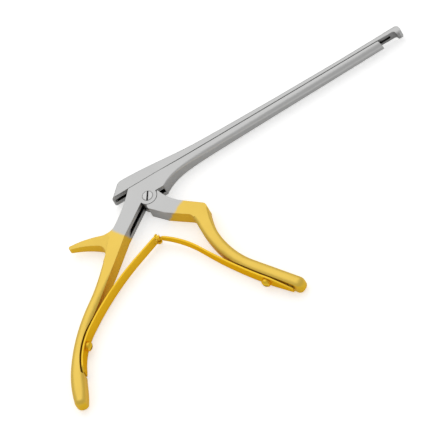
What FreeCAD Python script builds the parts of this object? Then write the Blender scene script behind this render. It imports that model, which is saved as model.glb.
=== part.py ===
"""Bone rongeur with a long sliding shaft: a fixed bar forged in one with the body and rear handle,
a sliding bar with a foot plate, a front handle, a small reversing lever inside the body and a
pair of leaf springs.  Millimetres; X runs along the shaft to the tip, Y towards the sliding bar,
Z through the thickness.  The origin is on the handle's pivot axis at the underside."""
import math
import os

import FreeCAD
import Part

os.makedirs("parts", exist_ok=True)
V = FreeCAD.Vector

# Body and handles
THICK = 9.4                 # through the thickness
SEAM = 10.7                 # height of the sliding face above the pivot axis
BODY_FRONT = 10.3           # front of the flat body, where the shaft starts to narrow
BODY_DEPTH = 10.2           # of the flat body below the sliding face
LOBE = 5.1                  # round end of the body's cheeks about the pivot
SHOULDER_GAP = 0.3          # between the cheeks' lobe and the handle's shoulder
CHEEK_SLOT = 3.5            # slot for tongue and lever
ROOT_ROUND = 0.7            # rounding of the handles' long edges where they leave the body
GRIP_ROUND = 3.1            # the same along the grip
GRIP_END = 2.7              # rounding of the handles' ends
GRIP_FLAT = 0.6             # depth ground off the rounding towards the leaves
SEAM_BREAK = 0.3            # rounding of the bars' edges along the seam
# Jaws and shaft
CUTTER_X = 149.4            # where the cutter's face meets the sliding face
JAW_GAP = 10.2              # open mouth, along the shaft
BITE_REST = 0.1             # left between foot plate and cutter when closed
BITE_LEAN = 0.34            # slope of the biting faces
BITE_ROUND = 1.5            # their rounding at the sliding face
TIP_HALF = 3.1              # half thickness at the jaws
FOOT_DEPTH = 3.55           # foot plate below the sliding face
FOOT_THICK = 3.8            # foot plate, along the shaft
SLIDE_GAP = 0.08            # under the sliding bar
HEEL_X = -19.1              # rear end of the sliding bar
# Drive
SWING = math.radians(34.0)  # squeeze of the front handle
TONGUE = 3.2
LEVER_THICK = 3.1
PIVOT_SHANK = 1.8           # radius of the screw's shank
PIVOT_HEAD = 3.0            # radius of its head
HEAD_SINK = 2.1             # depth of the head's seat
RUN_FIT = 0.05              # radial, on the pivot and the lever pin
PRESS_FIT = 0.02            # radial, round a screw or pin that sits still
LEVER_DROP = 3.3            # lever pin below the sliding face
LEVER_IN = 2.6              # pin to lower nose
LEVER_OUT = 8.0             # pin to upper nose
LEVER_PIN = 0.9
NOSE_LOW = 0.7
NOSE_HIGH = 0.95
NOSE_PLAY = 0.35            # beside the upper nose in its pocket
KEY_NECK = 2.1
KEY_HEAD = 3.4
KEY_STEM = 1.0
KEY_PLAY = 0.1
# Springs
LEAF = 1.0                  # thickness
LEAF_WIDTH = 7.8
REAR_END = (3.5, 2.6)       # run and half width of the rear leaf's narrowed held end
FRONT_END = (14.0, 1.6)     # the same of the front leaf
SEAT_GAP = 0.06             # under a leaf on the pads of its seat
SEAT_RELIEF = 0.75          # between leaf and handle away from the pads
PAD = 2.1                   # radius of the pads, round screw and peg
SPRING_SHANK = 1.2          # radius of the spring screws
SPRING_HEAD = 2.7
SPRING_DOME = 2.9           # height of the screws' heads
PEG = 0.8
HOLE_PLAY = 0.15            # round screw and peg in a leaf
BAR_R = 0.8                 # cross bar that joins the leaves
HOOK_PLAY = 0.15
HOOK_WALL = 0.6
FORK = 3.2                  # gap between the hooks
NECK = 2.6                  # of the front leaf, between the hooks

MID = THICK / 2.0
TIP_X = CUTTER_X + 6.6
FOOT_X = CUTTER_X + JAW_GAP + FOOT_THICK
FOOT_TOP = SEAM + 3.25
LEVER_Y = SEAM - LEVER_DROP
LEVER_SWING = math.asin((JAW_GAP - BITE_REST) / 2.0 / LEVER_OUT)
HEAD_FLOOR = THICK - HEAD_SINK
THROUGH = (-5.0, THICK + 5.0)


def line(a, b):
    return Part.makeLine(V(a[0], a[1], 0), V(b[0], b[1], 0))


def arc(a, m, b):
    return Part.Arc(V(a[0], a[1], 0), V(m[0], m[1], 0), V(b[0], b[1], 0)).toShape()


def polar(radius, degrees, centre=(0.0, 0.0)):
    a = math.radians(degrees)
    return (centre[0] + radius * math.cos(a), centre[1] + radius * math.sin(a))


def prism(edges, low, high):
    wire = Part.Wire(Part.__sortEdges__(edges))
    solid = Part.Face(wire).extrude(V(0, 0, high - low))
    solid.translate(V(0, 0, low))
    return solid


def polygon(points, low, high):
    return prism([line(a, b) for a, b in zip(points, points[1:] + points[:1])], low, high)


def disc(centre, radius, low, high):
    return Part.makeCylinder(radius, high - low, V(centre[0], centre[1], low))


def turned(shape, centre, degrees):
    out = shape.copy()
    out.rotate(V(centre[0], centre[1], 0), V(0, 0, 1), degrees)
    return out


def link(c1, r1, c2, r2, low, high):
    """Two round ends joined by their outer tangents."""
    dx, dy = c2[0] - c1[0], c2[1] - c1[1]
    base = math.atan2(dy, dx)
    lean = math.acos((r1 - r2) / math.hypot(dx, dy))
    deg = math.degrees
    p1 = polar(r1, deg(base + lean), c1)
    p2 = polar(r2, deg(base + lean), c2)
    q1 = polar(r1, deg(base - lean), c1)
    q2 = polar(r2, deg(base - lean), c2)
    return prism([line(p1, p2), arc(p2, polar(r2, deg(base), c2), q2), line(q2, q1),
                  arc(q1, polar(r1, deg(base) + 180.0, c1), p1)], low, high)


# Outlines that run in tangent arcs and straights
def advance(step, s):
    """Place and heading at a distance along one step."""
    x, y, h, _, k = step
    if abs(k) < 1e-9:
        return x + s * math.cos(h), y + s * math.sin(h), h
    return (x + (math.sin(h + k * s) - math.sin(h)) / k,
            y - (math.cos(h + k * s) - math.cos(h)) / k, h + k * s)


def chain(start, heading, runs):
    """Steps from a start and heading in degrees; each run is a length and a turn to the left."""
    steps = []
    x, y, h = start[0], start[1], math.radians(heading)
    for length, turn in runs:
        steps.append((x, y, h, length, math.radians(turn) / length))
        x, y, h = advance(steps[-1], length)
    return steps


def beside(step, s, offset):
    """Point to the left of a step, at a distance along it."""
    x, y, h = advance(step, s)
    return (x - math.sin(h) * offset, y + math.cos(h) * offset)


def chain_edges(steps, offset=0.0):
    out = []
    for step in steps:
        a, m, b = (beside(step, s, offset) for s in (0.0, step[3] / 2.0, step[3]))
        out.append(line(a, b) if abs(step[4]) < 1e-9 else arc(a, m, b))
    return out


def chain_ends(steps, offset=0.0):
    return beside(steps[0], 0.0, offset), beside(steps[-1], steps[-1][3], offset)


def on_chain(steps, s):
    """Point at a distance along the whole chain, and the direction to its left."""
    for step in steps:
        if s <= step[3] or step is steps[-1]:
            x, y, h = advance(step, s)
            return V(x, y, 0), V(-math.sin(h), math.cos(h), 0)
        s -= step[3]


def strip(steps, near, far, low, high):
    """Flat strip between two offsets of one chain."""
    a0, a1 = chain_ends(steps, near)
    b0, b1 = chain_ends(steps, far)
    edges = chain_edges(steps, near) + chain_edges(steps, far)
    return prism(edges + [line(a0, b0), line(a1, b1)], low, high)


def grip(back, inner, outward):
    """Handle between two chains, its long edges growing round, with a flat inner face."""
    proud = GRIP_FLAT * outward
    starts = (chain_ends(back)[0], chain_ends(inner, proud)[0])
    ends = (chain_ends(back)[1], chain_ends(inner, proud)[1])
    seated = chain_ends(inner)[0]
    bar = prism(chain_edges(back) + chain_edges(inner, proud)
                + [line(starts[0], seated), line(seated, starts[1]), line(*ends)], 0.0, THICK)
    for z in (0.0, THICK):
        for start, step, offset in zip(starts, (back[0], inner[0]), (0.0, proud)):
            root = V(start[0], start[1], z)
            middle = V(*beside(step, step[3] / 2.0, offset), z)
            edge = min(bar.Edges, key=lambda e: (e.valueAt(sum(e.ParameterRange) / 2) - middle).Length)
            from_root = (edge.firstVertex().Point - root).Length < 1e-4
            radii = (ROOT_ROUND, GRIP_ROUND) if from_root else (GRIP_ROUND, ROOT_ROUND)
            bar = bar.makeFillet(radii[0], radii[1], [edge]).Solids[0]
    tip = V((ends[0][0] + ends[1][0]) / 2, (ends[0][1] + ends[1][1]) / 2, MID)
    cap = min(bar.Faces, key=lambda f: (f.CenterOfMass - tip).Length)
    bar = bar.makeFillet(GRIP_END, cap.Edges).Solids[0]
    return bar.cut(strip(inner, 0.0, 9.0 * outward, *THROUGH)).Solids[0]


# Bars of the shaft: tables run from 0 at one end of a bar to 1 at its tip
def ring_wire(corners, radii, place):
    """A closed outline of straight sides and corner arcs, placed in space by place(u, v)."""
    count = len(corners)
    tangents = []
    for i in range(count):
        u, v = corners[i]
        r = radii[i]
        ends = []
        for nu, nv in (corners[i - 1], corners[(i + 1) % count]):
            run = math.hypot(nu - u, nv - v)
            ends.append((u + (nu - u) / run * r, v + (nv - v) / run * r))
        a, b = ends
        c = (a[0] + b[0] - u, a[1] + b[1] - v)
        reach = math.hypot(u - c[0], v - c[1])
        tangents.append((a, (c[0] + (u - c[0]) / reach * r, c[1] + (v - c[1]) / reach * r), b))
    edges = []
    for i in range(count):
        a, m, b = tangents[i]
        edges.append(Part.Arc(place(*a), place(*m), place(*b)).toShape())
        edges.append(Part.makeLine(place(*b), place(*tangents[(i + 1) % count][0])))
    return Part.Wire(edges)


def bar_section(x, half, low, high, r_low, r_high):
    """Section of a shaft bar across X, with its own corner radii below and above."""
    corners = [(low, MID - half), (low, MID + half), (high, MID + half), (high, MID - half)]
    return ring_wire(corners, [r_low, r_low, r_high, r_high], lambda y, z: V(x, y, z))


def along(table, t):
    """Values of a table at t, by a smooth cubic between neighbouring rows."""
    ts = [row[0] for row in table]
    t = min(max(t, ts[0]), ts[-1])
    k = max(i for i in range(len(ts) - 1) if ts[i] <= t)
    span = ts[k + 1] - ts[k]
    f = (t - ts[k]) / span
    out = []
    for c in range(1, len(table[0])):
        rates = [(table[i + 1][c] - table[i][c]) / (ts[i + 1] - ts[i]) for i in range(len(ts) - 1)]

        def slope(i):
            if i in (0, len(ts) - 1):
                return rates[0] if i == 0 else rates[-1]
            before, after = rates[i - 1], rates[i]
            return 2.0 * before * after / (before + after) if before * after > 0.0 else 0.0

        a, b = table[k][c], table[k + 1][c]
        m0, m1 = slope(k) * span, slope(k + 1) * span
        out.append(a + m0 * f + (3 * (b - a) - 2 * m0 - m1) * f ** 2
                   + (m0 + m1 - 2 * (b - a)) * f ** 3)
    return out


def bar_loft(table, t0, t1, count, section, straight=False):
    """Bar through evenly spaced sections, smooth or straight between them."""
    stations = [t0 + (t1 - t0) * i / (count - 1) for i in range(count)]
    return Part.makeLoft([section(t, *along(table, t)) for t in stations], True, straight)


def taper(share):
    """Half thickness, from the body's at 1 to the jaws' at 0."""
    return TIP_HALF + (MID - TIP_HALF) * share


def bite_outline(x, low, reach):
    """Side outline of everything in front of the slanted bite face that starts at x."""
    r = BITE_ROUND
    top = SEAM + 0.6
    a = (x - 0.6 * r, SEAM)
    b = (x + 0.9 * BITE_LEAN * r, SEAM - 0.9 * r)
    m = (x + 0.06 * r, SEAM - 0.3 * r)
    c = (b[0] + BITE_LEAN * (b[1] - low), low)
    return [line((a[0], top), a), arc(a, m, b), line(b, c), line(c, (reach, low)),
            line((reach, low), (reach, top)), line((reach, top), (a[0], top))]


# Fixed bar, body and rear handle
FIXED_BAR = [  # run, taper, depth below the sliding face, underside rounding against half thickness
    (0.000, 1.00, 10.20, 0.05), (0.017, 0.94, 8.65, 0.09), (0.039, 0.80, 7.20, 0.15),
    (0.067, 0.64, 6.05, 0.23), (0.108, 0.50, 5.20, 0.33), (0.176, 0.39, 4.78, 0.46),
    (0.307, 0.28, 4.55, 0.59), (0.513, 0.16, 4.38, 0.74), (0.753, 0.06, 4.15, 0.87),
    (1.000, 0.00, 3.70, 0.96)]


def fixed_section(t, share, depth, rounding):
    half = taper(share)
    depth *= BODY_DEPTH / 10.2
    return bar_section(BODY_FRONT + (TIP_X - BODY_FRONT) * t, half, SEAM - depth, SEAM,
                       rounding * half, SEAM_BREAK)


flare = bar_loft(FIXED_BAR, 0.0, 0.24, 7, fixed_section)
shaft = bar_loft(FIXED_BAR, 0.24, 1.0, 4, fixed_section, True)
bite_low = SEAM - BODY_DEPTH
shaft = shaft.cut(prism(bite_outline(CUTTER_X, bite_low, TIP_X + 9.0), *THROUGH))
cup_y = SEAM - 1.95
cup_half = 0.42 * TIP_HALF
cup = Part.makeBox(5.2, 2.2, 2 * cup_half, V(CUTTER_X - 3.2, cup_y - 1.1, MID - cup_half))
for side in (-cup_half, cup_half):
    cup = cup.fuse(Part.makeCylinder(1.1, 5.2, V(CUTTER_X - 3.2, cup_y, MID + side), V(1, 0, 0)))
shaft = shaft.cut(cup.removeSplitter())

rear_back = chain((-38.58, -21.79), -132.33, [(25.10, -8.86), (40.01, 21.07), (25.0, 21.2)])
rear_inner = chain((-33.65, -26.18), -137.03, [(31.87, -1.50), (40.88, 29.38), (13.6, -10.0)])
front_back = chain((24.57, -25.92), -106.05, [(45.91, 50.19), (33.6, 0.0)])
front_inner = chain((15.40, -24.01), -91.32, [(8.03, -0.83), (47.00, 35.93), (29.7, 0.0)])

spur_low = chain((-50.60, -2.60), -20.4, [(16.5, -20.0), (6.4, -75.1), (3.8, 0.0)])
lobe_start = (math.sqrt(LOBE ** 2 - bite_low ** 2), bite_low)
lobe_end = polar(LOBE, -162.0)
crotch = (-21.6, -14.6)
shoulder_back = (-25.6, -7.2)
body = prism([line((-6.9, SEAM), (BODY_FRONT, SEAM)),
              line((BODY_FRONT, SEAM), (BODY_FRONT, bite_low)),
              line((BODY_FRONT, bite_low), lobe_start),
              arc(lobe_start, polar(LOBE, -78.0), lobe_end), line(lobe_end, crotch),
              line(crotch, chain_ends(rear_inner)[0]),
              line(chain_ends(rear_inner)[0], chain_ends(rear_back)[0]),
              line(chain_ends(rear_back)[0], (-36.6, -19.8)), line((-36.6, -19.8), (-31.0, -12.0)),
              line((-31.0, -12.0), shoulder_back),
              arc(shoulder_back, (-15.6, 1.06), (-6.9, SEAM))], 0.0, THICK)

spur = prism([arc((-24.0, -6.1), (-28.5, -7.4), (-33.0, -6.3)),
              arc((-33.0, -6.3), (-40.5, -2.95), (-49.6, -0.6)),
              arc((-49.6, -0.6), (-51.2, -1.5), chain_ends(spur_low)[0])]
             + chain_edges(spur_low)
             + [line(chain_ends(spur_low)[1], (-26.0, -15.0)), line((-26.0, -15.0), (-24.0, -6.1))],
             0.0, THICK)
profile = []
for x, half in ((-20.0, MID), (-29.0, MID), (-38.0, 0.72 * MID), (-53.0, 0.36 * MID)):
    profile.append((x, half))
flat = [V(x, 0, MID - h) for x, h in profile] + [V(x, 0, MID + h) for x, h in reversed(profile)]
spur_plan = Part.Face(Part.makePolygon(flat + flat[:1])).extrude(V(0, 30, 0))
spur_plan.translate(V(0, -25, 0))
spur = spur.common(spur_plan)

# Each leaf follows one chain, and its handle's seat is cut along the same chain
rear_line = chain((-78.28, -75.61), 73.36, [(27.4, -34.72), (48.7, -17.03), (12.7, 0.0)])
front_line = chain((41.72, -97.94), 123.18, [(17.0, 0.75), (44.5, -8.77), (24.9, 23.23)])
hinge = (-7.0, -24.6)
leaf_low = MID - LEAF_WIDTH / 2.0
leaf_high = MID + LEAF_WIDTH / 2.0


def rod(point, normal, radius, start, stop):
    """Cylinder along a direction in the side plane, at mid thickness."""
    return Part.makeCylinder(radius, stop - start, V(point.x, point.y, MID) + normal * start, normal)


def seat(steps, side, pads):
    """What a handle loses so that a leaf lies on two pads with its end near a small step."""
    cut = strip(steps, -SEAT_RELIEF * side, 9.0 * side, *THROUGH)
    p, n = on_chain(steps, 0.0)
    end = p + n * side * (0.9 - SEAT_RELIEF)
    cut = cut.fuse(disc((end.x, end.y), 0.9, *THROUGH))
    for s in pads:
        p, n = on_chain(steps, s)
        cut = cut.cut(rod(p, n * side, PAD, -SEAT_RELIEF - 1.0, -SEAT_GAP))
    return cut


def leaf_fixings(steps, side, screw_at, peg_at):
    """Screw and locating peg of one leaf, and the holes they need in handle and leaf."""
    p, n = on_chain(steps, screw_at)
    n = n * side
    top = LEAF + 0.08
    crown = top + SPRING_DOME
    cap = 0.5 * SPRING_HEAD
    ball_r = (SPRING_HEAD ** 2 + cap ** 2) / (2.0 * cap)
    screw = rod(p, n, SPRING_SHANK, -4.2, top + 0.1)
    screw = screw.fuse(rod(p, n, SPRING_HEAD, top, crown - cap))
    ball = Part.makeSphere(ball_r, V(p.x, p.y, MID) + n * (crown - ball_r))
    screw = screw.fuse(ball.common(rod(p, n, SPRING_HEAD, crown - cap - 0.1, crown + 1.0)))
    slot = Part.makeBox(2.6 * SPRING_HEAD, 1.2, 0.6, V(-1.3 * SPRING_HEAD, -0.6, -0.3))
    slot.rotate(V(0, 0, 0), V(0, 0, 1), math.degrees(math.atan2(n.y, n.x)) - 90.0)
    slot.translate(V(p.x, p.y, MID) + n * crown)
    screw = screw.cut(slot).removeSplitter()
    q, m = on_chain(steps, peg_at)
    m = m * side
    peg = rod(q, m, PEG, -2.5, LEAF)
    cap = Part.makeSphere(1.5 * PEG, V(q.x, q.y, MID) + m * (LEAF + 0.3 - 1.5 * PEG))
    peg = peg.fuse(cap.common(rod(q, m, PEG, LEAF - 0.1, LEAF + 0.6))).removeSplitter()
    in_handle = rod(p, n, SPRING_SHANK + PRESS_FIT, -4.2, 0.2)
    in_handle = in_handle.fuse(rod(q, m, PEG + PRESS_FIT, -2.5, 0.2))
    in_leaf = rod(p, n, SPRING_SHANK + HOLE_PLAY, -1.0, 2.5)
    in_leaf = in_leaf.fuse(rod(q, m, PEG + HOLE_PLAY, -1.0, 2.5))
    return screw, peg, in_handle, in_leaf


REAR_FIXINGS = (17.7, 2.6)  # screw and peg, along the leaf
FRONT_FIXINGS = (16.9, 2.6)
rear_screw, rear_peg, rear_handle_holes, rear_leaf_holes = leaf_fixings(
    rear_line, -1, *REAR_FIXINGS)
front_screw, front_peg, front_handle_holes, front_leaf_holes = leaf_fixings(
    front_line, 1, *FRONT_FIXINGS)

# Cheek slot: a saw cut with a curved floor, open below and through the sliding face
slot_front = BODY_FRONT - 0.4
cheek_slot = prism([arc((-21.2, -15.2), (-12.3, -2.0), (-5.0, SEAM + 1.0)),
                    line((-5.0, SEAM + 1.0), (8.0, SEAM + 1.0)),
                    line((8.0, SEAM + 1.0), (slot_front, 0.4)),
                    line((slot_front, 0.4), (slot_front, -16.0)),
                    line((slot_front, -16.0), (-21.2, -15.2))],
                   MID - CHEEK_SLOT / 2.0, MID + CHEEK_SLOT / 2.0)
pivot_holes = disc((0, 0), PIVOT_SHANK + PRESS_FIT, *THROUGH)
pivot_holes = pivot_holes.fuse(disc((0, 0), PIVOT_HEAD + 0.08, HEAD_FLOOR, THICK + 1.0))
pin_top = THICK - 1.1
pin_hole = disc((0, LEVER_Y), LEVER_PIN + PRESS_FIT, -1.0, pin_top)

# Guide keys: from, to and stem along the shaft
KEY_FRONT = (CUTTER_X - 21.6, CUTTER_X - 9.6, CUTTER_X - 15.6)
KEY_REAR = (BODY_FRONT + 2.7, BODY_FRONT + 8.7, BODY_FRONT + 5.7)


def stem_hole(x):
    return Part.makeCylinder(KEY_STEM + PRESS_FIT, 2.2, V(x, SEAM - 2.2, MID), V(0, 1, 0))


rear_grip = grip(rear_back, rear_inner, 1)
fixed = body.fuse([flare, shaft, spur, rear_grip])
for tool in (cheek_slot, pivot_holes, pin_hole, seat(rear_line, -1, REAR_FIXINGS),
             rear_handle_holes, stem_hole(KEY_FRONT[2]), stem_hole(KEY_REAR[2])):
    fixed = fixed.cut(tool)
fixed = fixed.removeSplitter()


def stadium(x0, x1, half, low, high):
    """Slot along the shaft with round ends, seen from above the sliding face."""
    solid = Part.makeBox(x1 - x0 - 2 * half, high - low, 2 * half, V(x0 + half, low, MID - half))
    for x in (x0 + half, x1 - half):
        solid = solid.fuse(Part.makeCylinder(half, high - low, V(x, low, MID), V(0, 1, 0)))
    return solid


def guide_key(x0, x1, stem_x):
    key = stadium(x0, x1, KEY_NECK / 2, SEAM, SEAM + 1.0)
    key = key.fuse(stadium(x0 - 0.3, x1 + 0.3, KEY_HEAD / 2, SEAM + 0.95, SEAM + 1.75))
    key = key.fuse(Part.makeCylinder(KEY_STEM, 2.3, V(stem_x, SEAM - 2.2, MID), V(0, 1, 0)))
    return key.removeSplitter()


front_key = guide_key(*KEY_FRONT)
rear_key = guide_key(*KEY_REAR)

# Pivot screw and lever pin
screw = disc((0, 0), PIVOT_SHANK, 0.0, HEAD_FLOOR)
head = disc((0, 0), PIVOT_HEAD, HEAD_FLOOR, THICK)
rim = Part.makeCone(PIVOT_HEAD, PIVOT_HEAD - 0.35, 0.25, V(0, 0, THICK))
screw = screw.fuse([head, rim])
driver = Part.makeBox(2.4 * PIVOT_HEAD, 0.9, 2.0, V(-1.2 * PIVOT_HEAD, -0.45, THICK - 0.75))
screw = screw.cut(turned(driver, (0, 0), 60.0)).removeSplitter()
lever_pin = disc((0, LEVER_Y), LEVER_PIN, 0.1, pin_top)

# Sliding bar with its foot plate
SLIDING_BAR = [  # run, taper, height above the sliding face, top rounding against half thickness
    (0.000, 0.75, 7.75, 0.21), (0.062, 0.75, 7.65, 0.21), (0.107, 0.75, 7.25, 0.21),
    (0.152, 0.73, 6.60, 0.23), (0.192, 0.66, 5.95, 0.25), (0.277, 0.41, 4.60, 0.32),
    (0.401, 0.29, 3.75, 0.39), (0.559, 0.18, 3.25, 0.47), (0.729, 0.08, 3.02, 0.56),
    (0.870, 0.02, 3.02, 0.61), (1.000, 0.00, 3.25, 0.61)]
floor = SEAM + SLIDE_GAP
SLIDE_END = TIP_X + 2.0


def slide_section(t, share, height, rounding):
    half = taper(share)
    return bar_section(HEEL_X + 0.1 + (SLIDE_END - HEEL_X - 0.1) * t, half, floor, SEAM + height,
                       SEAM_BREAK, rounding * half)


slide = bar_loft(SLIDING_BAR, 0.0, 0.40, 8, slide_section)
slide = slide.fuse(bar_loft(SLIDING_BAR, 0.40, 1.0, 4, slide_section, True))
heel_half = taper(0.75) + 0.01
heel_rise = V(6.1, 6.57, 0)
heel = ring_wire([(HEEL_X, MID - heel_half), (HEEL_X, MID + heel_half),
                  (FOOT_X + 40.0, MID + heel_half), (FOOT_X + 40.0, MID - heel_half)],
                 [1.7, 1.7, 0.2, 0.2], lambda x, z: V(x, SEAM - 1.7, z))
slide = slide.common(Part.Face(heel).extrude(heel_rise * 2.4))
slide = slide.cut(polygon([(HEEL_X + 5.1, SEAM + 6.3), (HEEL_X + 7.2, SEAM + 6.3),
                           (HEEL_X + 10.7, SEAM + 7.3), (HEEL_X + 12.1, SEAM + 14.3),
                           (HEEL_X + 5.1, SEAM + 14.3)], *THROUGH))
foot_face = CUTTER_X + JAW_GAP
slide = slide.cut(prism(bite_outline(foot_face - 2.2, bite_low, FOOT_X + 12.0), *THROUGH))

foot_low = SEAM - FOOT_DEPTH
nose_top = (FOOT_X - 4.05, FOOT_TOP)
nose = (FOOT_X, SEAM - 0.2)
toe = (FOOT_X - 1.6, foot_low)
back = foot_face - 5.8
foot = prism([line((back, floor), (back, FOOT_TOP - 0.05)),
              line((back, FOOT_TOP - 0.05), nose_top),
              arc(nose_top, (FOOT_X - 1.05, FOOT_TOP - 1.2), nose),
              arc(nose, (FOOT_X - 0.4, (nose[1] + toe[1]) / 2.0), toe),
              line(toe, (toe[0] - 1.2, foot_low - 1.0)),
              line((toe[0] - 1.2, foot_low - 1.0), (back - 4.0, foot_low - 1.0)),
              line((back - 4.0, foot_low - 1.0), (back - 4.0, floor)),
              line((back - 4.0, floor), (back, floor))], *THROUGH)
foot_front = ring_wire([(foot_low, MID - TIP_HALF), (foot_low, MID + TIP_HALF),
                        (FOOT_TOP + 0.1, MID + TIP_HALF), (FOOT_TOP + 0.1, MID - TIP_HALF)],
                       [0.96 * TIP_HALF, 0.96 * TIP_HALF, 0.61 * TIP_HALF, 0.61 * TIP_HALF],
                       lambda y, z: V(back - 5.0, y, z))
foot = foot.common(Part.Face(foot_front).extrude(V(FOOT_X - back + 9.0, 0, 0)))
mouth = Part.makeBox(30.0, floor - foot_low + 2.0, THICK + 4.0,
                     V(foot_face - 26.0, foot_low - 2.0, -2.0))
mouth = mouth.cut(prism(bite_outline(foot_face, foot_low - 3.0, FOOT_X + 12.0), *THROUGH))
slide = slide.fuse(foot.cut(mouth))

nose_x = LEVER_OUT * math.sin(LEVER_SWING)
travel = 2.0 * nose_x
wide = nose_x - LEVER_DROP * math.tan(LEVER_SWING) + 2.1
narrow = NOSE_HIGH + NOSE_PLAY
roof = LEVER_Y + LEVER_OUT - 0.1
waist = roof - 1.1
pocket = prism([line((nose_x - wide, SEAM - 1.0), (nose_x - wide, floor)),
                line((nose_x - wide, floor), (nose_x - narrow, waist)),
                line((nose_x - narrow, waist), (nose_x - narrow, roof)),
                arc((nose_x - narrow, roof), (nose_x, roof + narrow), (nose_x + narrow, roof)),
                line((nose_x + narrow, roof), (nose_x + narrow, waist)),
                line((nose_x + narrow, waist), (nose_x + wide, floor)),
                line((nose_x + wide, floor), (nose_x + wide, SEAM - 1.0)),
                line((nose_x + wide, SEAM - 1.0), (nose_x - wide, SEAM - 1.0))],
               MID - CHEEK_SLOT / 2.0, MID + CHEEK_SLOT / 2.0)


def key_slot(x0, x1, head_x0, head_x1):
    """Way for a guide key: a narrow neck under a wider head space."""
    neck = stadium(x0, x1, KEY_NECK / 2 + KEY_PLAY, SEAM - 0.5, SEAM + 0.9)
    high = stadium(head_x0, head_x1, KEY_HEAD / 2 + KEY_PLAY, SEAM + 0.85, SEAM + 1.9)
    return neck.fuse(high)


for tool in (pocket, stadium(HEEL_X + 1.8, nose_x, 1.25, SEAM - 0.5, SEAM + 1.7),
             key_slot(KEY_FRONT[0] - 1.5, foot_face - 2.8, KEY_FRONT[0] - 1.0,
                      KEY_FRONT[1] + travel + 1.2),
             key_slot(KEY_REAR[0] - 0.6, KEY_REAR[1] + travel + 0.8,
                      KEY_REAR[0] - 0.9, KEY_REAR[1] + travel + 1.1)):
    slide = slide.cut(tool)
slide = slide.removeSplitter()

# Front handle: thick part, tongue in the cheek slot and grip
shoulder = LOBE + SHOULDER_GAP
top_left = polar(shoulder, -118.7)
top_right = polar(shoulder, -3.0)
knee_back = chain_ends(front_back)[0]
handle_top = prism([arc(top_left, polar(shoulder, -60.0), top_right), line(top_right, (6.2, -0.2)),
                    arc((6.2, -0.2), (9.5, -7.8), (14.8, -14.2)), line((14.8, -14.2), (23.4, -22.0)),
                    arc((23.4, -22.0), (24.6, -23.7), knee_back),
                    line(knee_back, (19.0, -27.6)), line((19.0, -27.6), (15.35, -27.2)),
                    arc((15.35, -27.2), (15.0, -25.5), (14.0, -24.2)),
                    line((14.0, -24.2), (9.0, -20.0)), line((9.0, -20.0), (3.2, -15.0)),
                    line((3.2, -15.0), (-0.8, -10.0)), line((-0.8, -10.0), (-3.2, -7.1)),
                    line((-3.2, -7.1), (-3.2, -5.5)), line((-3.2, -5.5), top_left)], 0.0, THICK)
t_low = MID - TONGUE / 2.0
t_high = MID + TONGUE / 2.0
half_swing = math.degrees(SWING) / 2.0
tongue = disc((0, 0), LOBE - 0.5, t_low, t_high)
tongue = tongue.fuse(polygon([(-2.4, -4.4), (0.0, 0.0), (5.2, -0.3), (6.6, -2.0), (2.0, -8.0),
                              (-2.6, -6.5)], t_low, t_high))
lever_hub = 1.7
horns = polygon([(-2.5, 0.0), (-2.5, LEVER_Y), (2.5, LEVER_Y), (2.5, 0.0)], t_low, t_high)
horns = horns.common(disc((0, 0), LEVER_Y - lever_hub - 0.25, t_low, t_high))
notch_half = NOSE_LOW + 0.25
notch_y = LEVER_Y - LEVER_IN - 0.1
notch = disc((0, notch_y), notch_half, *THROUGH)
notch = notch.fuse(Part.makeBox(2 * notch_half, 4.0, THICK + 2.0, V(-notch_half, notch_y, -1.0)))
tongue = tongue.fuse(turned(horns, (0, 0), half_swing)).cut(turned(notch, (0, 0), half_swing))
front = handle_top.fuse([grip(front_back, front_inner, -1), tongue])
for tool in (disc((0, 0), PIVOT_SHANK + RUN_FIT, *THROUGH),
             seat(front_line, 1, FRONT_FIXINGS), front_handle_holes):
    front = front.cut(tool)
front = front.removeSplitter()

# Reversing lever
pin_at = (0.0, LEVER_Y)
low_nose = (0.0, LEVER_Y - LEVER_IN)
high_nose = (0.0, LEVER_Y + LEVER_OUT)
l_low = MID - LEVER_THICK / 2.0
l_high = MID + LEVER_THICK / 2.0
lever = disc(pin_at, lever_hub, l_low, l_high)
lever = lever.fuse([disc(low_nose, NOSE_LOW, l_low, l_high),
                    disc(high_nose, NOSE_HIGH, l_low, l_high),
                    link(pin_at, 0.5, low_nose, 0.45, l_low, l_high),
                    link(pin_at, 1.35, high_nose, 0.7, l_low, l_high)])
lever = lever.cut(disc(pin_at, LEVER_PIN + RUN_FIT, *THROUGH)).removeSplitter()
lever = turned(lever, pin_at, -math.degrees(LEVER_SWING))

# Leaf springs, joined by a cross bar lying in two open hooks
hook_in = BAR_R + HOOK_PLAY
hook_out = hook_in + HOOK_WALL


def leaf_end(steps, side):
    return chain_ends(steps, side * LEAF / 2.0)[1]


def narrowed(leaf, plan):
    """A leaf cut to a plan of half widths along the shaft's direction."""
    flat = [V(x, -110, MID - h) for x, h in plan] + [V(x, -110, MID + h) for x, h in reversed(plan)]
    return leaf.common(Part.Face(Part.makePolygon(flat + flat[:1])).extrude(V(0, 110, 0)))


def drawn_in(leaf, steps, length, half):
    """A leaf whose held end narrows to a blunt tongue."""
    p, n = on_chain(steps, 0.0)
    run = V(math.cos(steps[0][2]), math.sin(steps[0][2]), 0)
    corner = [(0.0, half), (length, half_wide), (length, half_wide + 2.0),
              (-1.0, half_wide + 2.0), (-1.0, half)]
    for up in (1, -1):
        flat = [p + run * s + V(0, 0, MID + up * h) - n * 6.0 for s, h in corner]
        leaf = leaf.cut(Part.Face(Part.makePolygon(flat + flat[:1])).extrude(n * 12.0))
    return leaf


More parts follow.
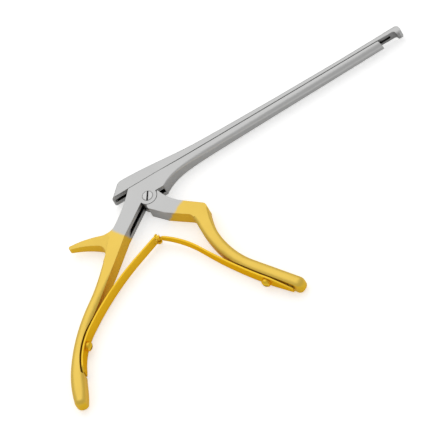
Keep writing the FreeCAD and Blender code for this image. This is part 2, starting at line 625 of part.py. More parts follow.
half_wide = LEAF_WIDTH / 2.0
rear_leaf = drawn_in(strip(rear_line, 0.0, -LEAF, leaf_low, leaf_high), rear_line, *REAR_END)
prong = link(leaf_end(rear_line, -1), LEAF / 2.0, (hinge[0] - 0.9, hinge[1]), 0.45,
             leaf_low, leaf_high)
rear_leaf = rear_leaf.fuse([prong, disc(hinge, hook_out, leaf_low, leaf_high)])
rear_leaf = narrowed(rear_leaf, [(-90.0, half_wide), (-60.0, half_wide),
                                 (hinge[0] + 5.0, 0.79 * half_wide)])
rear_leaf = rear_leaf.cut(disc(hinge, hook_in, *THROUGH))
fork = Part.makeBox(8.0, 8.0, FORK, V(hinge[0] - 2.9, hinge[1] - 4.0, MID - FORK / 2.0))
hook_mouth = Part.makeBox(4.0, 1.4, THICK + 2.0, V(hinge[0], hinge[1] - 0.7, -1.0))
rear_leaf = rear_leaf.cut(fork).cut(turned(hook_mouth, hinge, 40.0)).cut(rear_leaf_holes)
rear_leaf = rear_leaf.removeSplitter()

front_leaf = drawn_in(strip(front_line, 0.0, LEAF, leaf_low, leaf_high), front_line, *FRONT_END)
half_tip = NECK / 2.0 + 0.5
front_leaf = narrowed(front_leaf, [(60.0, half_wide), (16.0, half_wide),
                                   (hinge[0] + 2.0, half_tip), (hinge[0] - 4.0, half_tip)])
front_leaf = front_leaf.cut(disc(hinge, hook_out + 0.45, *THROUGH))
neck = link(leaf_end(front_line, 1), LEAF / 2.0, hinge, 0.5, MID - NECK / 2.0, MID + NECK / 2.0)
bar_half = 0.79 * half_wide
front_leaf = front_leaf.fuse([neck, disc(hinge, BAR_R, MID - bar_half, MID + bar_half)])
front_leaf = front_leaf.cut(front_leaf_holes).removeSplitter()

NODES = [
    ("fixed_shaft_and_rear_handle", fixed), ("front_guide_key", front_key),
    ("rear_guide_key", rear_key), ("pivot_screw", screw), ("lever_pin", lever_pin),
    ("rear_spring_screw", rear_screw), ("rear_spring_peg", rear_peg), ("sliding_bar", slide),
    ("front_handle", front), ("front_spring_screw", front_screw),
    ("front_spring_peg", front_peg), ("reversing_lever", lever),
    ("rear_leaf_spring", rear_leaf), ("front_leaf_spring", front_leaf)]
for name, shape in NODES:
    solid = shape.Solids[0] if len(shape.Solids) == 1 else shape
    box = solid.BoundBox
    print(name, len(shape.Solids), solid.isValid(), round(solid.Volume, 1),
          [round(v, 1) for v in (box.XMin, box.XMax, box.YMin, box.YMax, box.ZMin, box.ZMax)])
    solid.exportStep("parts/" + name + ".step")
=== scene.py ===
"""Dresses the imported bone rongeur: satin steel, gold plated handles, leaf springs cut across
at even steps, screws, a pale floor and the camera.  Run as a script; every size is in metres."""
import functools
import math

import bmesh
import bpy
from bpy.props import FloatProperty, FloatVectorProperty, PointerProperty
from mathutils import Matrix, Vector


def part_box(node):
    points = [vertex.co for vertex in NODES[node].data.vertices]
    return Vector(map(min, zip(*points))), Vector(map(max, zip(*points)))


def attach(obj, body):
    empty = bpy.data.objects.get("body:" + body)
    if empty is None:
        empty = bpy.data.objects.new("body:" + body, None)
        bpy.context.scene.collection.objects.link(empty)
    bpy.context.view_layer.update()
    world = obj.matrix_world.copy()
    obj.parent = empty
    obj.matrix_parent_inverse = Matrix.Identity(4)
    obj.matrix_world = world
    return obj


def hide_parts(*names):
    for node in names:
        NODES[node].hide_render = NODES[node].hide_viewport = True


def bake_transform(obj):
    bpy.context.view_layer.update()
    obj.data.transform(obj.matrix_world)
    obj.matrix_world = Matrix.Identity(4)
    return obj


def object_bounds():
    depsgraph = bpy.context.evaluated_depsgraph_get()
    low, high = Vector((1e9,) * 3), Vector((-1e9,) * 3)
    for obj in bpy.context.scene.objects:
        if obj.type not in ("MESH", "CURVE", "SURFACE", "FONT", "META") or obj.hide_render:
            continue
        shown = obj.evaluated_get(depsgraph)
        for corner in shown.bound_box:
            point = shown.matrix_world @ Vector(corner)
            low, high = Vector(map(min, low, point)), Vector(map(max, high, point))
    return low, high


bl_info = {
    "name": "Bone Rongeur Finish",
    "version": (1, 0, 0),
    "blender": (4, 5, 0),
    "location": "View3D > Sidebar > Rongeur",
    "description": "Finishes, bending leaf springs, floor, lamp and camera of a bone rongeur",
    "category": "Object",
}

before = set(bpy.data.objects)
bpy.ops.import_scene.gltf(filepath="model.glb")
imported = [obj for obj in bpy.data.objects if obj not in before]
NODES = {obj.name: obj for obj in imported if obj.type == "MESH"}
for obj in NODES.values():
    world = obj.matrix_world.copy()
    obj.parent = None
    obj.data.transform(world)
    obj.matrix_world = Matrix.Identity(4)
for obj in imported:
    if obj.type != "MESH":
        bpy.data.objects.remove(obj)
CAD_BOX = [list(corner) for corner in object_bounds()]

# The instrument lies on its side: z runs through its thickness, x along the shaft to the tip
UNDER, TOP = (corner.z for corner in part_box("fixed_shaft_and_rear_handle"))
MID = (UNDER + TOP) / 2.0

# Marks on the steel, with the names of the mask groups' inputs; the seam and the bite are painted
# shade
SEAM = {"Height": 0.0107, "Half width": 0.00026, "Front end": 0.1496}
BITE = {"Middle": 0.1535, "Half length": 0.0084, "Strength": 0.38}
REAR_PLATING = {"Line point": (-0.0238, -0.0108, TOP), "Towards gold": (-0.84, -0.54, -0.33)}
FRONT_PLATING = {"Line point": (0.011, -0.0166, TOP), "Towards gold": (0.46, -0.89, -0.55)}
# Near-black colour of all painted shade: in slots, along the seam and in the bite
PAINTED_SHADE = (0.02, 0.019, 0.017)
SHALLOW_REACH = 0.003    # how far off a wall counts as near, for the painted shade in a slot
DEEP_REACH = 0.009       # the same for the wide slots of the two bars
EASED_RADIUS = 0.0003
GRAIN_DEPTH = 0.00004
WHITE = (1.0, 1.0, 1.0)

# Places where a piece is reworked
HEEL_WALL = {"base": (-0.01745, 0.01078, MID), "radius": 0.00125, "wall": 0.0009,
             "rise": (0.0015227, 0.00164, 0.0)}
GRIP_END = {"tip": (0.04848, -0.09957, MID), "outward": (0.5473, -0.8369, 0.0), "depth": 0.0046}
HOOK_WEB = {"middle": (-0.00915, -0.02479, MID), "size": (0.00165, 0.0009, 0.0033),
            "turn": math.radians(10.3)}
REAR_RUN, FRONT_RUN = (0.78, 0.62, 0.0), (-0.5, 0.86, 0.0)
MERGE = 1e-6             # vertices nearer than this are one
ON_CUT = 1e-7            # vertices nearer than this to a cutting plane lie on it
SHARP_ANGLE = math.radians(38.0)

# Stage
LOOK_AT = Vector((0.0259, -0.03345, 0.0094))
FLOOR_MIDDLE = (0.03, -0.03)
FLOOR_GAP = 0.00002
FLOOR_LIFT = 0.46        # glow that makes the floor white to the camera
GLOSS_SHARE = 0.35       # share of that glow which the metal reflects
KEY_PLACE = (0.05, 0.62, 0.85)
KEY_SIZE = 1.3
SENSOR = 36.0            # millimetres, as the lens


def colour(name, description, value):
    """A colour that the user can change in the panel."""
    return FloatVectorProperty(name=name, description=description, subtype="COLOR", size=3,
                               min=0.0, max=1.0, default=value)


class RongeurFinish(bpy.types.PropertyGroup):
    """Colours and gloss of the metals"""
    steel: colour("Steel", "Satin steel of the shaft and body", (0.62, 0.62, 0.615))
    steel_worn: colour("Rubbed steel", "Steel where edges and faces are rubbed", (0.74, 0.74, 0.73))
    gold: colour("Gold", "Gold plating of the grips", (0.90, 0.64, 0.13))
    # Painted shade: the gold on faces that stand upright is painted deeper and darker
    gold_flank_shade: colour("Deep gold", "Thicker plating on the flanks", (0.86, 0.55, 0.02))
    spring_gold: colour("Spring gold", "Plating of the leaf springs", (0.93, 0.60, 0.045))
    steel_roughness: FloatProperty(name="Steel roughness", description="Gloss of the satin steel",
                                   default=0.5, min=0.05, max=1.0)
    gold_roughness: FloatProperty(name="Gold roughness", description="Gloss of the gold plating",
                                  default=0.42, min=0.05, max=1.0)
    # Painted shade: the steel's flanks are painted darker than its level faces by this factor
    flank: FloatProperty(name="Flank shade",
                         description="Tone of the steel's flanks against its level faces",
                         default=0.75, min=0.2, max=1.0)
    grain: FloatProperty(name="Grain", description="Spacing of the blasted grain",
                         default=0.00035, min=0.00005, max=0.01, unit="LENGTH")
    plating_fade: FloatProperty(name="Plating fade",
                                description="Width over which the gold fades into the steel",
                                default=0.002, min=0.0001, max=0.05, unit="LENGTH")


class RongeurSprings(bpy.types.PropertyGroup):
    """Fineness of the leaf springs"""
    bend_step: FloatProperty(name="Bend step",
                             description="Spacing of the cuts that let a leaf bend",
                             default=0.003, min=0.001, max=0.02, unit="LENGTH")


class RongeurStage(bpy.types.PropertyGroup):
    """Floor, light and camera"""
    floor: colour("Floor", "Colour of the floor", (0.93, 0.93, 0.93))
    floor_size: FloatProperty(name="Floor size", description="Side of the floor",
                              default=6.0, min=0.5, max=50.0, unit="LENGTH")
    elevation: FloatProperty(name="Elevation", description="Camera's angle above the floor",
                             default=math.radians(55.74), subtype="ANGLE")
    roll: FloatProperty(name="Roll", description="How far the shaft rises across the picture",
                        default=math.radians(30.94), subtype="ANGLE")
    width: FloatProperty(name="Width", description="Width of the picture at the object",
                         default=0.2314, min=0.01, unit="LENGTH")
    lens: FloatProperty(name="Lens", description="Focal length in millimetres",
                        default=1000.0, min=20.0, max=2000.0)
    key: FloatProperty(name="Key lamp", description="Watts of the large lamp beyond the object",
                       default=3.25, min=0.0)
    ambient: FloatProperty(name="Ambient", description="Strength of the light from all round",
                           default=0.56, min=0.0)


def node(tree, kind, place, **values):
    """A shader node; each value sets the input or else the property of that name."""
    made = tree.nodes.new(kind)
    made.location = place
    for key, value in values.items():
        if key in made.inputs:
            made.inputs[key].default_value = value
        else:
            setattr(made, key, value)
    return made


def feed(tree, socket, value):
    """Link an input to a socket, or set it to a number or vector."""
    if isinstance(value, bpy.types.NodeSocket):
        tree.links.new(value, socket)
    else:
        socket.default_value = value


def math_node(tree, place, operation, *values):
    """Output of a Math node whose inputs are sockets or numbers."""
    made = node(tree, "ShaderNodeMath", place, operation=operation)
    for socket, value in zip(made.inputs, values):
        feed(tree, socket, value)
    return made.outputs[0]


def vector_math(tree, place, operation, output, a, b):
    """Named output of a Vector Math node with two inputs."""
    made = node(tree, "ShaderNodeVectorMath", place, operation=operation)
    feed(tree, made.inputs[0], a)
    feed(tree, made.inputs[1], b)
    return made.outputs[output]


def split(tree, place, vector):
    """The X, Y and Z outputs of a vector."""
    made = node(tree, "ShaderNodeSeparateXYZ", place)
    feed(tree, made.inputs[0], vector)
    return made.outputs


def smooth_step(tree, place, value, none, full):
    """Mask that eases from 0 at the value none to 1 at the value full."""
    made = node(tree, "ShaderNodeMapRange", place, interpolation_type="SMOOTHSTEP")
    made.inputs["From Min"].default_value = none
    made.inputs["From Max"].default_value = full
    feed(tree, made.inputs["Value"], value)
    return made.outputs["Result"]


def mix_colour(tree, place, factor, a, b):
    """Output that goes from colour a to colour b with the factor; each may be a socket."""
    made = node(tree, "ShaderNodeMix", place, data_type="RGBA")
    feed(tree, made.inputs[0], factor)
    for socket, value in ((made.inputs[6], a), (made.inputs[7], b)):
        feed(tree, socket, value if isinstance(value, bpy.types.NodeSocket) else (*value, 1.0))
    return made.outputs[2]


def shared_group(name, inputs, outputs):
    """Turns a function that wires a shader node group into one that gives the finished group.

    The group is built once and then reused.  inputs maps each name to its default, or to None for
    a vector, and outputs maps each name to its socket type."""
    def wired_by(wire):
        @functools.wraps(wire)
        def group():
            if name in bpy.data.node_groups:
                return bpy.data.node_groups[name]
            tree = bpy.data.node_groups.new(name, "ShaderNodeTree")
            for label, value in inputs.items():
                kind = "NodeSocketVector" if value is None else "NodeSocketFloat"
                socket = tree.interface.new_socket(label, in_out="INPUT", socket_type=kind)
                if value is not None:
                    socket.default_value = value
            for label, kind in outputs.items():
                tree.interface.new_socket(label, in_out="OUTPUT", socket_type=kind)
            start, end = tree.nodes.new("NodeGroupInput"), tree.nodes.new("NodeGroupOutput")
            for label, socket in wire(tree, start.outputs).items():
                tree.links.new(socket, end.inputs[label])
            return tree
        return group
    return wired_by


def placed(tree, place, group, values):
    """The outputs of a node group set into a material, its inputs fed by name."""
    made = tree.nodes.new("ShaderNodeGroup")
    made.node_tree = group
    made.location = place
    for label, value in values.items():
        feed(tree, made.inputs[label], value)
    return made.outputs


@shared_group("Blasted grain", {"Position": None, "Spacing": 0.0004, "Patch size": 0.02},
              {"Grain": "NodeSocketFloat", "Patches": "NodeSocketFloat"})
def blasted_grain(tree, start):
    """Fine grain of a glass-blasted surface, with slow patches from handling."""
    masks = {}
    for label, spacing, y, detail, roughness in (("Grain", "Spacing", 120, 2.0, 0.6),
                                                 ("Patches", "Patch size", -120, 3.0, 0.55)):
        scale = math_node(tree, (-400, y), "DIVIDE", 1.0, start[spacing])
        noise = node(tree, "ShaderNodeTexNoise", (-200, y), Detail=detail, Roughness=roughness)
        feed(tree, noise.inputs["Vector"], start["Position"])
        feed(tree, noise.inputs["Scale"], scale)
        masks[label] = noise.outputs["Fac"]
    return masks


@shared_group("Eased edges", {"Radius": 0.0003, "Patches": 0.5},
              {"Normal": "NodeSocketVector", "Rubbed": "NodeSocketFloat"})
def eased_edges(tree, start):
    """Normal that runs round every sharp edge, and a mask that is 1 where handling rubs them."""
    ease = node(tree, "ShaderNodeBevel", (-600, 100))
    feed(tree, ease.inputs["Radius"], start["Radius"])
    shape = node(tree, "ShaderNodeNewGeometry", (-600, -100))
    turn = vector_math(tree, (-400, 0), "DOT_PRODUCT", "Value",
                       ease.outputs["Normal"], shape.outputs["Normal"])
    sharp = smooth_step(tree, (-200, 0), turn, 0.995, 0.86)
    return {"Normal": ease.outputs["Normal"],
            "Rubbed": math_node(tree, (0, -100), "MULTIPLY", sharp, start["Patches"])}


@shared_group("Painted slot shade", {"Reach": 0.003}, {"Shade": "NodeSocketFloat"})
def slot_shade(tree, start):
    """Mask that is 1 deep in slots and recesses, where the metal is painted dark as shade."""
    open_air = node(tree, "ShaderNodeAmbientOcclusion", (-400, 0), samples=8, only_local=True)
    feed(tree, open_air.inputs["Distance"], start["Reach"])
    return {"Shade": smooth_step(tree, (-200, 0), open_air.outputs["AO"], 0.72, 0.45)}


@shared_group("Painted seam shade",
              {"Position": None, "Facing": None, "Height": 0.0107, "Half width": 0.0002,
               "Front end": 0.15}, {"Line": "NodeSocketFloat"})
def seam_shade(tree, start):
    """Mask of a thin dark line of painted shade on the bars' sides along their sliding faces, the
    shade of the narrow gap between the bars.
    """
    place = split(tree, (-800, 100), start["Position"])
    off = math_node(tree, (-600, 100), "SUBTRACT", place["Y"], start["Height"])
    apart = math_node(tree, (-450, 100), "ABSOLUTE", off)
    share = math_node(tree, (-300, 100), "DIVIDE", apart, start["Half width"])
    near = smooth_step(tree, (-150, 100), share, 1.5, 0.5)
    facing = split(tree, (-800, -100), start["Facing"])
    sideways = math_node(tree, (-600, -100), "ABSOLUTE", facing["Z"])
    on_side = math_node(tree, (-450, -100), "GREATER_THAN", sideways, 0.6)
    behind = math_node(tree, (-450, -250), "LESS_THAN", place["X"], start["Front end"])
    side = math_node(tree, (-200, -150), "MULTIPLY", on_side, behind)
    return {"Line": math_node(tree, (0, 0), "MULTIPLY", near, side)}


@shared_group("Painted bite shade",
              {"Position": None, "Facing": None, "Middle": 0.15, "Half length": 0.005,
               "Strength": 0.5}, {"Inner shade": "NodeSocketFloat"})
def bite_shade(tree, start):
    """Mask of painted shade on the bite's inner faces, which are painted darker than the rubbed
    outside.
    """
    place = split(tree, (-600, 100), start["Position"])
    within = math_node(tree, (-400, 100), "COMPARE", place["X"], start["Middle"],
                      start["Half length"])
    facing = split(tree, (-600, -100), start["Facing"])
    inward = math_node(tree, (-400, -100), "MINIMUM", facing["X"], facing["Y"])
    inner = smooth_step(tree, (-200, -100), inward, -0.3, -0.7)
    both = math_node(tree, (0, 0), "MULTIPLY", within, inner)
    return {"Inner shade": math_node(tree, (150, 0), "MULTIPLY", both, start["Strength"])}


@shared_group("Plating edge",
              {"Position": None, "Line point": None, "Towards gold": None, "Fade": 0.004},
              {"Gold": "NodeSocketFloat"})
def plating_edge(tree, start):
    """Mask that goes from 0 on bare steel to 1 on gold across a soft, slightly uneven line."""
    away = vector_math(tree, (-600, 0), "SUBTRACT", "Vector", start["Position"],
                       start["Line point"])
    depth = vector_math(tree, (-400, 0), "DOT_PRODUCT", "Value", away, start["Towards gold"])
    ragged = node(tree, "ShaderNodeTexNoise", (-600, -220), Scale=260.0, Detail=2.0)
    feed(tree, ragged.inputs["Vector"], start["Position"])
    shift = math_node(tree, (-400, -220), "MULTIPLY_ADD", ragged.outputs["Fac"], 0.002, -0.001)
    total = math_node(tree, (-200, 0), "ADD", depth, shift)
    share = math_node(tree, (-50, 0), "DIVIDE", total, start["Fade"])
    return {"Gold": smooth_step(tree, (120, 0), share, -0.5, 0.5)}


def blasted_metal(name, base, rubbed, roughness, grain, bump=0.12, flank=1.0, plating=None,
                  marks=(), reach=SHALLOW_REACH, edge_tint=WHITE):
    """Blasted metal with rubbed edges and painted shade in its slots.

    A flank below 1 paints shade on the faces that stand upright, plating adds gold beyond a line
    with deeper gold painted as shade on such faces, and each mark is a mask group with its values,
    painted as shade in near-black."""
    material = bpy.data.materials.new(name)
    material.use_nodes = True
    tree = material.node_tree
    shader = tree.nodes["Principled BSDF"]
    shader.inputs["Metallic"].default_value = 1.0
    shader.inputs["Specular Tint"].default_value = (*edge_tint, 1.0)
    coords = node(tree, "ShaderNodeTexCoord", (-1200, 0)).outputs
    blasted = placed(tree, (-950, 0), blasted_grain(),
                     {"Position": coords["Object"], "Spacing": grain})
    worn = placed(tree, (-700, 200), eased_edges(),
                  {"Radius": EASED_RADIUS, "Patches": blasted["Patches"]})

    tint = mix_colour(tree, (-500, 200), blasted["Patches"], [v * 0.93 for v in base],
                      [min(1.0, v * 1.06) for v in base])
    if plating or flank < 1.0:
        facing = split(tree, (-1000, 700), coords["Normal"])
        level = math_node(tree, (-850, 700), "ABSOLUTE", facing["Z"])
    # Painted shade: faces that stand upright are darkened by the flank factor
    if flank < 1.0:
        upright = smooth_step(tree, (-600, 350), level, 0.45, 0.1)
        tint = mix_colour(tree, (-400, 350), upright, tint, [v * flank for v in base])
    tint = mix_colour(tree, (-300, 200), worn["Rubbed"], tint, rubbed)
    if plating:
        edge = placed(tree, (-700, 500), plating_edge(),
                      {"Position": coords["Object"], **plating["line"], "Fade": plating["fade"]})
        # Painted shade: gold goes deeper and darker on faces that stand upright
        gold = mix_colour(tree, (-500, 500), level, plating["deep"], plating["gold"])
        tint = mix_colour(tree, (-100, 300), edge["Gold"], tint, gold)
    # Painted shade: each mark darkens the metal towards near-black
    for i, (mask, values) in enumerate(marks):
        mark = placed(tree, (-300, 1050 + 200 * i), mask(),
                      {"Position": coords["Object"], "Facing": coords["Normal"], **values})
        tint = mix_colour(tree, (0, 1050 + 200 * i), mark[0], tint, PAINTED_SHADE)
    # Painted shade: slots and recesses darken towards near-black where little open air reaches
    slots = placed(tree, (-300, 850), slot_shade(), {"Reach": reach})
    tint = mix_colour(tree, (150, 450), slots["Shade"], tint, PAINTED_SHADE)
    feed(tree, shader.inputs["Base Color"], tint)

    gloss = node(tree, "ShaderNodeMapRange", (-300, -100))
    gloss.inputs["To Min"].default_value = roughness * 0.85
    gloss.inputs["To Max"].default_value = roughness * 1.2
    feed(tree, gloss.inputs["Value"], blasted["Patches"])
    feed(tree, shader.inputs["Roughness"], gloss.outputs["Result"])
    relief = node(tree, "ShaderNodeBump", (-300, -350), Strength=bump, Distance=GRAIN_DEPTH)
    feed(tree, relief.inputs["Normal"], worn["Normal"])
    feed(tree, relief.inputs["Height"], blasted["Grain"])
    feed(tree, shader.inputs["Normal"], relief.outputs["Normal"])
    return material


def steel(finish, name, gloss=1.0, fineness=1.0, **layers):
    """Satin steel; gloss and fineness scale its roughness and grain for ground pieces."""
    return blasted_metal(name, finish.steel, finish.steel_worn, finish.steel_roughness * gloss,
                         finish.grain * fineness, **layers)


def gilt(finish, name, **layers):
    """Gold plated spring steel."""
    return blasted_metal(name, finish.spring_gold, finish.gold, finish.gold_roughness,
                         finish.grain, edge_tint=finish.spring_gold, **layers)


def handle_plating(finish, line):
    """Gold plating of a handle beyond the given line."""
    return {"line": line, "fade": finish.plating_fade, "gold": finish.gold,
            "deep": finish.gold_flank_shade}


def dress(names, material):
    """Give CAD nodes their material."""
    for name in names:
        slots = NODES[name].data.materials
        slots.clear()
        slots.append(material)


def everything(work):
    """All the vertices, edges and faces of a bmesh."""
    return work.verts[:] + work.edges[:] + work.faces[:]


def only(kind, made):
    """The vertices or the edges among what a bmesh operator has made."""
    return [item for item in made["geom"] if isinstance(item, kind)]


def merged_copy(source):
    """A bmesh of a CAD node whose loose triangles are joined along their edges."""
    work = bmesh.new()
    work.from_mesh(NODES[source].data)
    bmesh.ops.remove_doubles(work, verts=work.verts, dist=MERGE)
    return work


def shown(name, work):
    """An object in the scene that holds a bmesh, which is used up."""
    mesh = bpy.data.meshes.new(name)
    work.to_mesh(mesh)
    work.free()
    piece = bpy.data.objects.new(name, mesh)
    bpy.context.scene.collection.objects.link(piece)
    return piece


def standing_for(name, source, work, material):
    """Make the reworked copy the piece that is seen in place of its CAD node."""
    piece = shown(name, work)
    mesh = piece.data
    if "custom_normal" in mesh.attributes:
        mesh.attributes.remove(mesh.attributes["custom_normal"])
    mesh.shade_smooth()
    mesh.set_sharp_from_angle(angle=SHARP_ANGLE)
    mesh.materials.append(material)
    level = piece.modifiers.new("Level faces", "WEIGHTED_NORMAL")
    level.mode = "FACE_AREA"
    level.keep_sharp = True
    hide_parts(source)
    return piece


def joined(work, extra):
    """Fuse another closed bmesh into this one and return the result."""
    pieces = [shown("join", part) for part in (work, extra)]
    fuse = pieces[0].modifiers.new("Fuse", "BOOLEAN")
    fuse.operation = "UNION"
    fuse.solver = "EXACT"
    fuse.object = pieces[1]
    made = bpy.data.meshes.new_from_object(
        pieces[0].evaluated_get(bpy.context.evaluated_depsgraph_get()))
    result = bmesh.new()
    result.from_mesh(made)
    for piece in pieces:
        mesh = piece.data
        bpy.data.objects.remove(piece)
        bpy.data.meshes.remove(mesh)
    bpy.data.meshes.remove(made)
    return result


def slot_end_wall(base, radius, wall, rise):
    """Wall that closes the sliding bar's slot at the heel: hollow inside, flat outside.

    base is the middle of the wall's outer face where it starts, and rise is its slanting height."""
    work = bmesh.new()
    outer = Vector(base)
    middle = outer + Vector((wall + radius, 0.0, 0.0))
    first = work.verts.new(middle + Vector((0.0, 0.0, radius)))
    bmesh.ops.spin(work, geom=[first], cent=middle, axis=(0.0, -1.0, 0.0), angle=math.pi,
                   steps=12, use_merge=False)
    back = bmesh.ops.extrude_edge_only(work, edges=work.edges[:])
    flat_and_wider = (0.0, 1.0, 1.12)
    bmesh.ops.scale(work, vec=flat_and_wider, space=Matrix.Translation(-outer),
                    verts=only(bmesh.types.BMVert, back))
    raised = bmesh.ops.extrude_face_region(work, geom=work.faces[:])
    bmesh.ops.translate(work, vec=rise, verts=only(bmesh.types.BMVert, raised))
    bmesh.ops.recalc_face_normals(work, faces=work.faces)
    return work


def domed_end(work, tip, outward, depth, rings=9):
    """Cut a grip off a little before its tip and close it with a full, round bulb."""
    longest, fullness, last = 0.0012, 0.85, math.radians(84.0)
    way = Vector(outward).normalized()
    bmesh.ops.bisect_plane(work, geom=everything(work), plane_co=Vector(tip) - way * depth,
                           plane_no=way, clear_outer=True, dist=ON_CUT)
    bmesh.ops.subdivide_edges(work, cuts=3, edges=[
        edge for edge in work.edges if edge.is_boundary and edge.calc_length() > longest])
    rim = [edge for edge in work.edges if edge.is_boundary]
    corners = {vert for edge in rim for vert in edge.verts}
    middle = sum((vert.co for vert in corners), Vector()) / len(corners)
    turn = way.to_track_quat("Z", "Y").to_matrix().to_4x4()
    reach, size = 0.0, 1.0
    for i in range(1, rings + 1):
        angle = last * i / rings
        new_reach, new_size = math.sin(angle) ** fullness * depth, math.cos(angle) ** fullness
        ring = bmesh.ops.extrude_edge_only(work, edges=rim)
        verts = only(bmesh.types.BMVert, ring)
        rim = only(bmesh.types.BMEdge, ring)
        bmesh.ops.translate(work, vec=way * (new_reach - reach), verts=verts)
        middle = middle + way * (new_reach - reach)
        share = new_size / size
        here = Matrix.Translation(middle) @ turn
        bmesh.ops.scale(work, vec=(share, share, 1.0), space=here.inverted(), verts=verts)
        reach, size = new_reach, new_size
    bmesh.ops.edgeloop_fill(work, edges=rim)
    bmesh.ops.recalc_face_normals(work, faces=work.faces)


def small_block(middle, size, turn):
    """A closed block turned about the thickness axis."""
    work = bmesh.new()
    bmesh.ops.create_cube(work, size=1.0)
    bmesh.ops.scale(work, vec=size, verts=work.verts)
    bmesh.ops.rotate(work, cent=(0.0, 0.0, 0.0), matrix=Matrix.Rotation(turn, 3, "Z"),
                     verts=work.verts)
    bmesh.ops.translate(work, vec=middle, verts=work.verts)
    return work


def bending_leaf(name, source, work, material, run, bend_step):
    """A leaf spring cut across its run at even steps, fine enough for a smooth bend."""
    along = Vector(run)
    reach = [vert.co.dot(along) for vert in work.verts]
    low, high = min(reach), max(reach)
    steps = int((high - low) / bend_step)
    for i in range(1, steps):
        bmesh.ops.bisect_plane(work, geom=everything(work),
                               plane_co=along * (low + (high - low) * i / steps),
                               plane_no=along, dist=ON_CUT)
    piece = standing_for(name, source, work, material)
    return piece


class RONGEUR_OT_forging(bpy.types.Operator):
    """Finish the fixed shaft, body and rear handle: satin steel that fades into gold plating"""
    bl_idname = "rongeur.forging"
    bl_label = "Finish Shaft and Rear Handle"

    def execute(self, context):
        finish = context.scene.rongeur_finish
        dress(["fixed_shaft_and_rear_handle"], steel(
            finish, "Satin steel and gold, rear handle", flank=finish.flank, reach=DEEP_REACH,
            plating=handle_plating(finish, REAR_PLATING), marks=[(seam_shade, SEAM)]))
        return {"FINISHED"}


class RONGEUR_OT_sliding_bar(bpy.types.Operator):
    """Finish the sliding bar with its foot plate"""
    bl_idname = "rongeur.sliding_bar"
    bl_label = "Finish Sliding Bar"

    def execute(self, context):
        finish = context.scene.rongeur_finish
        metal = steel(finish, "Satin steel, sliding bar", flank=finish.flank, reach=DEEP_REACH,
                      marks=[(seam_shade, SEAM), (bite_shade, BITE)])
        closed = joined(merged_copy("sliding_bar"), slot_end_wall(**HEEL_WALL))
        bar = standing_for("sliding_bar_closed", "sliding_bar", closed, metal)
        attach(bar, "slide")
        return {"FINISHED"}


class RONGEUR_OT_front_handle(bpy.types.Operator):
    """Finish the front handle: satin steel at the joint and gold plating below it"""
    bl_idname = "rongeur.front_handle"
    bl_label = "Finish Front Handle"

    def execute(self, context):
        finish = context.scene.rongeur_finish
        metal = steel(finish, "Satin steel and gold, front handle", flank=finish.flank,
                      plating=handle_plating(finish, FRONT_PLATING))
        work = merged_copy("front_handle")
        domed_end(work, **GRIP_END)
        handle = standing_for("front_handle_rounded", "front_handle", work, metal)
        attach(handle, "squeeze")
        return {"FINISHED"}


class RONGEUR_OT_linkage(bpy.types.Operator):
    """Finish the pivot screw, lever, lever pin and guide keys in ground steel"""
    bl_idname = "rongeur.linkage"
    bl_label = "Finish Screw, Lever and Keys"

    def execute(self, context):
        finish = context.scene.rongeur_finish
        dress(["pivot_screw"], steel(finish, "Satin steel, pivot screw", gloss=0.8))
        dress(["reversing_lever", "lever_pin", "front_guide_key", "rear_guide_key"],
              steel(finish, "Ground steel", gloss=0.7, fineness=0.6))
        return {"FINISHED"}


class RONGEUR_OT_leaf_springs(bpy.types.Operator):
    """Make the two leaf springs, cut across their run at even steps"""
    bl_idname = "rongeur.leaf_springs"
    bl_label = "Make Leaf Springs"

    def execute(self, context):
        step = context.scene.rongeur_springs.bend_step
        plated = gilt(context.scene.rongeur_finish, "Gold plated spring steel", bump=0.08)
        webbed = joined(merged_copy("rear_leaf_spring"), small_block(**HOOK_WEB))
        rear = bending_leaf("rear_leaf", "rear_leaf_spring", webbed, plated, REAR_RUN, step)
        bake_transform(rear)
        front = bending_leaf("front_leaf", "front_leaf_spring", merged_copy("front_leaf_spring"),
                             plated, FRONT_RUN, step)
        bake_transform(front)
        return {"FINISHED"}


class RONGEUR_OT_spring_screws(bpy.types.Operator):
    """Finish the screws and locating pins that hold the leaf springs"""
    bl_idname = "rongeur.spring_screws"
    bl_label = "Finish Spring Screws"

    def execute(self, context):
        dress(["rear_spring_screw", "front_spring_screw", "rear_spring_peg", "front_spring_peg"],
              gilt(context.scene.rongeur_finish, "Gold plated screws"))
        return {"FINISHED"}


def floor_paint(floor_colour):
    """Matt floor that glows a little to the camera, and less to what reflects it."""
    surface = bpy.data.materials.new("Pale floor")
    surface.use_nodes = True
    tree = surface.node_tree
    shader = tree.nodes["Principled BSDF"]
    shader.inputs["Base Color"].default_value = (*floor_colour, 1.0)
    shader.inputs["Roughness"].default_value = 0.9
    shader.inputs["Specular IOR Level"].default_value = 0.1
    shader.inputs["Emission Color"].default_value = (*WHITE, 1.0)
    rays = node(tree, "ShaderNodeLightPath", (-600, -300)).outputs
    gloss = math_node(tree, (-600, -500), "MULTIPLY", rays["Is Glossy Ray"], GLOSS_SHARE)
    seen = math_node(tree, (-400, -300), "MAXIMUM", rays["Is Camera Ray"], gloss)
    feed(tree, shader.inputs["Emission Strength"],
         math_node(tree, (-200, -300), "MULTIPLY", seen, FLOOR_LIFT))
    return surface


def pale_floor(stage):
    """Plain floor just under the lowest point of the instrument."""
    work = bmesh.new()
    bmesh.ops.create_grid(work, x_segments=1, y_segments=1, size=stage.floor_size / 2.0)
    bmesh.ops.translate(work, verts=work.verts, vec=(*FLOOR_MIDDLE, CAD_BOX[0][2] - FLOOR_GAP))
    floor = shown("floor", work)
    floor.data.materials.append(floor_paint(stage.floor))


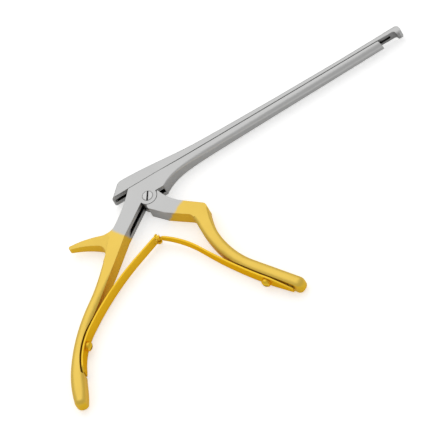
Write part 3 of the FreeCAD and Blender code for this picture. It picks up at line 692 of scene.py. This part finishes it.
def soft_room(scene, strength):
    """Even white light from all round."""
    world = bpy.data.worlds.new("Soft room")
    world.use_nodes = True
    scene.world = world
    back = world.node_tree.nodes["Background"]
    back.inputs["Color"].default_value = (*WHITE, 1.0)
    back.inputs["Strength"].default_value = strength


def key_lamp(scene, watts):
    """Large soft lamp above and beyond the object."""
    lamp = bpy.data.lights.new("key_lamp", "AREA")
    lamp.shape = "SQUARE"
    lamp.size = KEY_SIZE
    lamp.energy = watts
    holder = bpy.data.objects.new("key_lamp", lamp)
    scene.collection.objects.link(holder)
    holder.location = KEY_PLACE
    holder.rotation_euler = (LOOK_AT - Vector(KEY_PLACE)).to_track_quat("-Z", "Y").to_euler()


def tilted_camera(scene, stage):
    """Camera with a long lens, at the photograph's elevation and turned about its own axis."""
    right = Vector((1.0, 0.0, 0.0))
    up = Vector((0.0, math.sin(stage.elevation), math.cos(stage.elevation)))
    away = Vector((0.0, -math.cos(stage.elevation), math.sin(stage.elevation)))
    image_right = right * math.cos(stage.roll) - up * math.sin(stage.roll)
    image_up = right * math.sin(stage.roll) + up * math.cos(stage.roll)
    lens = bpy.data.cameras.new("camera")
    lens.type = "PERSP"
    lens.lens = stage.lens
    lens.sensor_width = SENSOR
    distance = stage.width * stage.lens / SENSOR
    lens.clip_end = distance + 10.0
    camera = bpy.data.objects.new("camera", lens)
    scene.collection.objects.link(camera)
    turn = Matrix((image_right, image_up, away)).transposed().to_4x4()
    camera.matrix_world = Matrix.Translation(LOOK_AT + away * distance) @ turn
    scene.camera = camera


class RONGEUR_OT_stage(bpy.types.Operator):
    """Set the pale floor, the soft light and the camera"""
    bl_idname = "rongeur.stage"
    bl_label = "Set Floor, Light and Camera"

    def execute(self, context):
        scene = context.scene
        stage = scene.rongeur_stage
        pale_floor(stage)
        soft_room(scene, stage.ambient)
        key_lamp(scene, stage.key)
        tilted_camera(scene, stage)
        scene.view_settings.view_transform = "Standard"
        return {"FINISHED"}


OPERATORS = (RONGEUR_OT_forging, RONGEUR_OT_sliding_bar, RONGEUR_OT_front_handle,
             RONGEUR_OT_linkage, RONGEUR_OT_leaf_springs, RONGEUR_OT_spring_screws,
             RONGEUR_OT_stage)
SETTINGS = {"rongeur_finish": RongeurFinish, "rongeur_springs": RongeurSprings,
            "rongeur_stage": RongeurStage}


class RONGEUR_PT_panel(bpy.types.Panel):
    """Lists the steps and their settings in the sidebar"""
    bl_label = "Bone Rongeur"
    bl_idname = "RONGEUR_PT_panel"
    bl_space_type = "VIEW_3D"
    bl_region_type = "UI"
    bl_category = "Rongeur"

    def draw(self, context):
        for operator in OPERATORS:
            self.layout.operator(operator.bl_idname)
        for name in SETTINGS:
            settings = getattr(context.scene, name)
            box = self.layout.box()
            for key in settings.__annotations__:
                box.prop(settings, key)


CLASSES = (*SETTINGS.values(), *OPERATORS, RONGEUR_PT_panel)


def register():
    for item in CLASSES:
        bpy.utils.register_class(item)
    for name, settings in SETTINGS.items():
        setattr(bpy.types.Scene, name, PointerProperty(type=settings))


def unregister():
    for name in SETTINGS:
        delattr(bpy.types.Scene, name)
    for item in reversed(CLASSES):
        bpy.utils.unregister_class(item)


def main():
    register()
    for operator in OPERATORS:
        group, name = operator.bl_idname.split(".")
        getattr(getattr(bpy.ops, group), name)()


if __name__ == "__main__":
    main()
